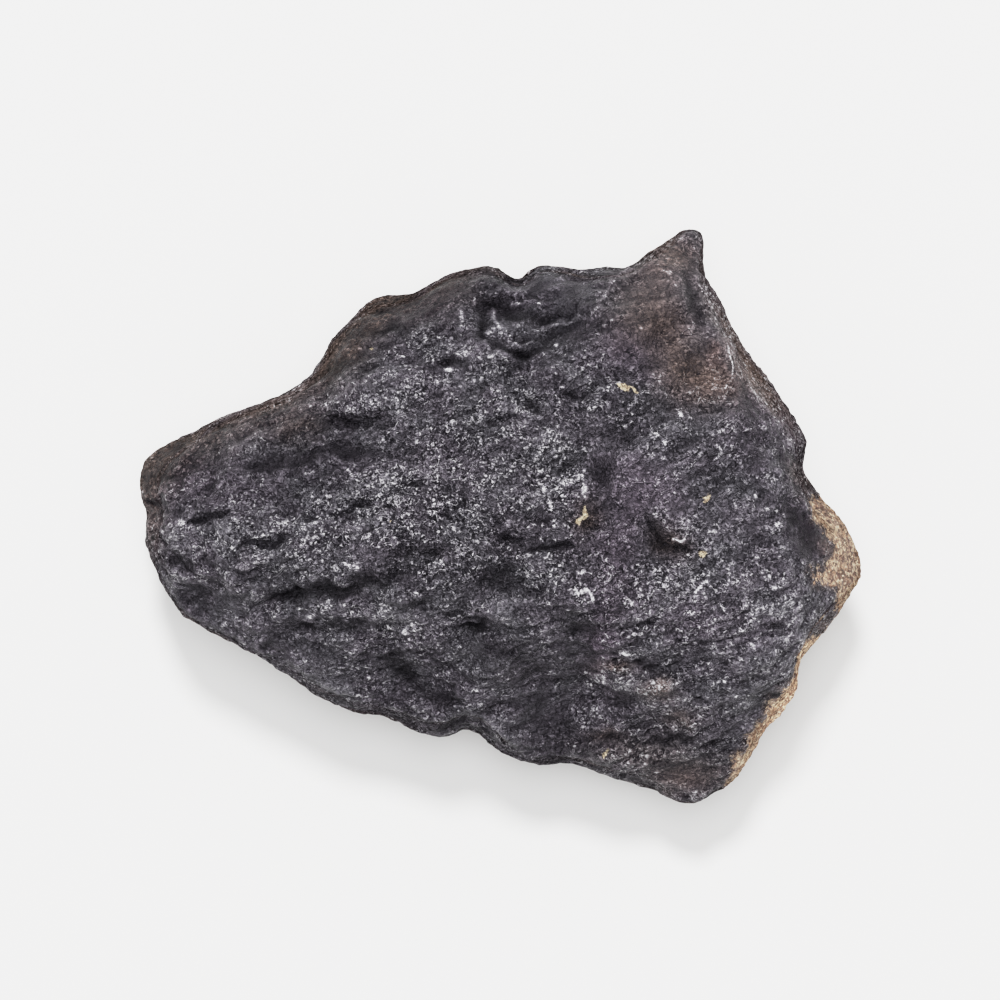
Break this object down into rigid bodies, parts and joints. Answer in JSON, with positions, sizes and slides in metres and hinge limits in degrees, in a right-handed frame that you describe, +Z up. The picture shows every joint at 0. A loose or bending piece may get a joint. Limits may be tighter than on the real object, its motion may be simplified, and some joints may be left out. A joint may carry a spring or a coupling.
{
  "type": "stony meteorite",
  "caption": "Small stony meteorite: a flattened, pointed-sided stone with dark pitted fusion crust and a chipped corner and edge showing tan stone.",
  "frame": {"origin": "middle of the stone's box, seen from above, on the surface that it lies on", "axes": "+X along the stone's length, from its blunt left end to its chipped corner; +Y towards the horn; +Z up"},
  "size_m": [0.052, 0.0414, 0.0229],
  "materials": {
    "crusted_stone": "dark, dull-glossy fusion crust with fine wrinkles and pits; tan, granular, rust-flecked stone where it is chipped"
  },
  "bodies": {
    "root": {"meteorite": "crusted_stone"}
  },
  "joints": []
}
